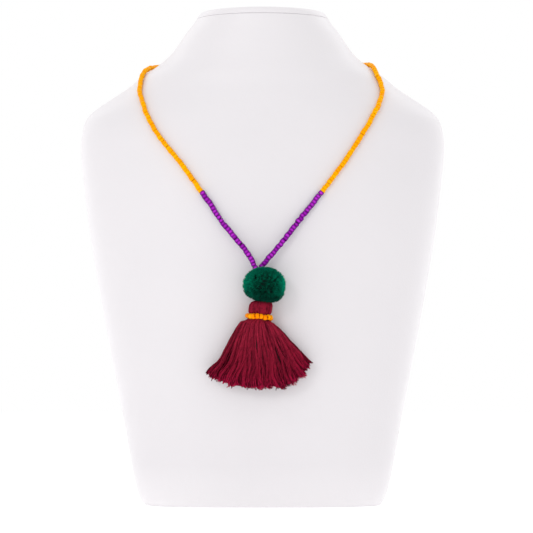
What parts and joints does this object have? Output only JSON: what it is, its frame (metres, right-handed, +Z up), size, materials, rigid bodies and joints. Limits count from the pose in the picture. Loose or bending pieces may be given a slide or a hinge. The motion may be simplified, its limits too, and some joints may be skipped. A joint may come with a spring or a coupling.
{
  "type": "tassel necklace on neck bust",
  "caption": "Seed bead necklace in orange and purple with a green pompom and a dark red tassel, worn by a plain white neck bust that stands on a table",
  "frame": {"origin": "middle of the flat face that the bust stands on", "axes": "+Z up, +X to the right as the picture shows it, and the bust looks along -Y"},
  "size_m": [0.2472, 0.1273, 0.334],
  "materials": {
    "leatherette": "white leatherette with a fine pebbled grain, matte",
    "base_board": "painted board, matte",
    "clasp_metal": "silver coloured metal, satin",
    "orange_beads": "opaque orange glass seed beads, glossy",
    "purple_beads": "purple glass seed beads, glossy",
    "green_yarn": "dark green yarn, cut pile",
    "red_thread": "dark red cotton thread with a slight sheen"
  },
  "bodies": {
    "root": {"bust_form": "leatherette", "bust_cap": "leatherette", "bust_board": "base_board", "clasp": "clasp_metal", "orange_strand_left": "orange_beads", "orange_strand_right": "orange_beads", "purple_strand_left": "purple_beads", "purple_strand_right": "purple_beads", "pompom": "green_yarn", "tassel": "red_thread", "bead_collar": "orange_beads"}
  },
  "joints": []
}
